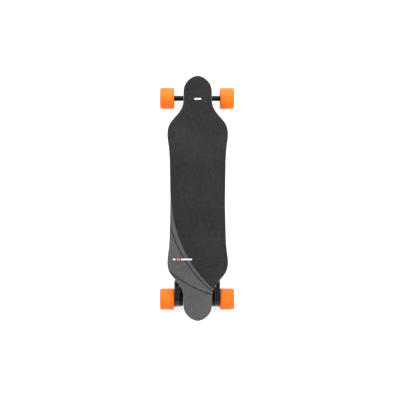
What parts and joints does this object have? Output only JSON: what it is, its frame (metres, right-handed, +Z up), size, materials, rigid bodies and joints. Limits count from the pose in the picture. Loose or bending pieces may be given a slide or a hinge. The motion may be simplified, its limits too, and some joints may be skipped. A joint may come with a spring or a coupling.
{
  "type": "electric skateboard",
  "caption": "Electric longboard: waisted maple deck with grip, reverse-kingpin trucks, battery tray below, urethane wheels and a belt drive to each rear wheel.",
  "frame": {"origin": "on the ground under the middle of the deck", "axes": "+Z up, +Y to the nose, +X to the rider's right"},
  "size_m": [0.2884, 0.95, 0.1325],
  "materials": {
    "deck_wood": "laminated maple and bamboo, black lacquered faces, clear edge",
    "grip_dark": "coarse dark grip sheet",
    "grip_grey": "coarse grey grip sheet",
    "steel": "zinc plated",
    "bearing_steel": "polished",
    "truck_black": "black powder coat",
    "cover_plastic": "black glass-filled nylon",
    "urethane_orange": "cast urethane, satin",
    "core_plastic": "moulded nylon",
    "pulley_aluminium": "anodised",
    "bushing_urethane": "cast urethane",
    "soft_rubber": "matt",
    "button_plastic": "satin",
    "cell_wrap": "shrink wrap",
    "circuit_board": "solder mask"
  },
  "bodies": {
    "root": {"deck": "deck_wood", "grip_main": "grip_dark", "grip_grey": "grip_grey", "threaded_inserts": "steel", "front_baseplate": "truck_black", "rear_baseplate": "truck_black", "riser_pads": "soft_rubber", "pivot_cups": "bushing_urethane", "kingpins": "steel", "kingpin_nuts": "steel", "front_bushings": "bushing_urethane", "rear_bushings": "bushing_urethane", "deck_screws": "steel", "battery_tray": "cover_plastic", "tray_floor": "cover_plastic", "tray_gasket": "soft_rubber", "battery_cells": "cell_wrap", "circuit_boards": "circuit_board", "controller_heatsink": "pulley_aluminium", "power_switch": "cover_plastic", "charge_socket": "cover_plastic", "cable_glands": "cover_plastic", "motor_leads": "soft_rubber"},
    "power_button": {"power_button": "button_plastic"},
    "charge_cap": {"charge_cap": "soft_rubber"},
    "front_hanger": {"front_hanger": "truck_black", "front_axle": "steel", "front_axle_nuts": "steel", "front_bearing_inner_rings": "steel"},
    "rear_hanger": {"rear_hanger": "truck_black", "rear_axle": "steel", "rear_axle_nuts": "steel", "rear_bearing_inner_rings": "steel", "left_motor_mount": "truck_black", "right_motor_mount": "truck_black", "left_motor_can": "truck_black", "right_motor_can": "truck_black", "left_belt_cover": "cover_plastic", "right_belt_cover": "cover_plastic", "drive_belts": "soft_rubber", "motor_stators": "steel", "drive_screws": "steel"},
    "front_left_wheel": {"front_left_tyre": "urethane_orange", "front_left_wheel_core": "core_plastic", "front_left_bearings": "bearing_steel"},
    "front_right_wheel": {"front_right_tyre": "urethane_orange", "front_right_wheel_core": "core_plastic", "front_right_bearings": "bearing_steel"},
    "rear_left_wheel": {"rear_left_tyre": "urethane_orange", "rear_left_wheel_core": "core_plastic", "rear_left_bearings": "bearing_steel", "left_wheel_pulley": "pulley_aluminium"},
    "rear_right_wheel": {"rear_right_tyre": "urethane_orange", "rear_right_wheel_core": "core_plastic", "rear_right_bearings": "bearing_steel", "right_wheel_pulley": "pulley_aluminium"},
    "left_rotor": {"left_motor_rotor": "steel", "left_motor_pulley": "pulley_aluminium"},
    "right_rotor": {"right_motor_rotor": "steel", "right_motor_pulley": "pulley_aluminium"}
  },
  "joints": [
    {"name": "front_steer", "type": "hinge", "parent": "root", "child": "front_hanger", "pos_m": [0, 0.40395, 0.07757], "axis": [0, 0.6428, 0.766], "range_deg": [-15, 15], "stiffness_Nm_per_rad": 60, "deforming": ["front_bushings"]},
    {"name": "rear_steer", "type": "hinge", "parent": "root", "child": "rear_hanger", "pos_m": [0, -0.40395, 0.07757], "axis": [0, -0.6428, 0.766], "range_deg": [-15, 15], "stiffness_Nm_per_rad": 60, "deforming": ["rear_bushings", "motor_leads"]},
    {"name": "front_left_spin", "type": "hinge", "parent": "front_hanger", "child": "front_left_wheel", "pos_m": [-0.117, 0.392, 0.0415], "axis": [1, 0, 0], "continuous": true},
    {"name": "front_right_spin", "type": "hinge", "parent": "front_hanger", "child": "front_right_wheel", "pos_m": [0.117, 0.392, 0.0415], "axis": [1, 0, 0], "continuous": true},
    {"name": "rear_left_spin", "type": "hinge", "parent": "rear_hanger", "child": "rear_left_wheel", "pos_m": [-0.117, -0.392, 0.0415], "axis": [1, 0, 0], "continuous": true},
    {"name": "rear_right_spin", "type": "hinge", "parent": "rear_hanger", "child": "rear_right_wheel", "pos_m": [0.117, -0.392, 0.0415], "axis": [1, 0, 0], "continuous": true},
    {"name": "left_motor_spin", "type": "hinge", "parent": "rear_hanger", "child": "left_rotor", "pos_m": [-0.055, -0.3441, 0.0535], "axis": [1, 0, 0], "continuous": true},
    {"name": "right_motor_spin", "type": "hinge", "parent": "rear_hanger", "child": "right_rotor", "pos_m": [0.055, -0.3441, 0.0535], "axis": [1, 0, 0], "continuous": true},
    {"name": "power_press", "type": "slide", "parent": "root", "child": "power_button", "axis": [-1, 0, 0], "range_m": [0, 0.0012], "stiffness_N_per_m": 800},
    {"name": "charge_cap_hinge", "type": "hinge", "parent": "root", "child": "charge_cap", "pos_m": [0.0716, -0.216, 0.101], "axis": [0, 0, -1], "range_deg": [0, 110]}
  ],
  "couplings": [
    {"joint": "left_motor_spin", "follows": "rear_left_spin", "ratio": 2.1333},
    {"joint": "right_motor_spin", "follows": "rear_right_spin", "ratio": 2.1333}
  ]
}
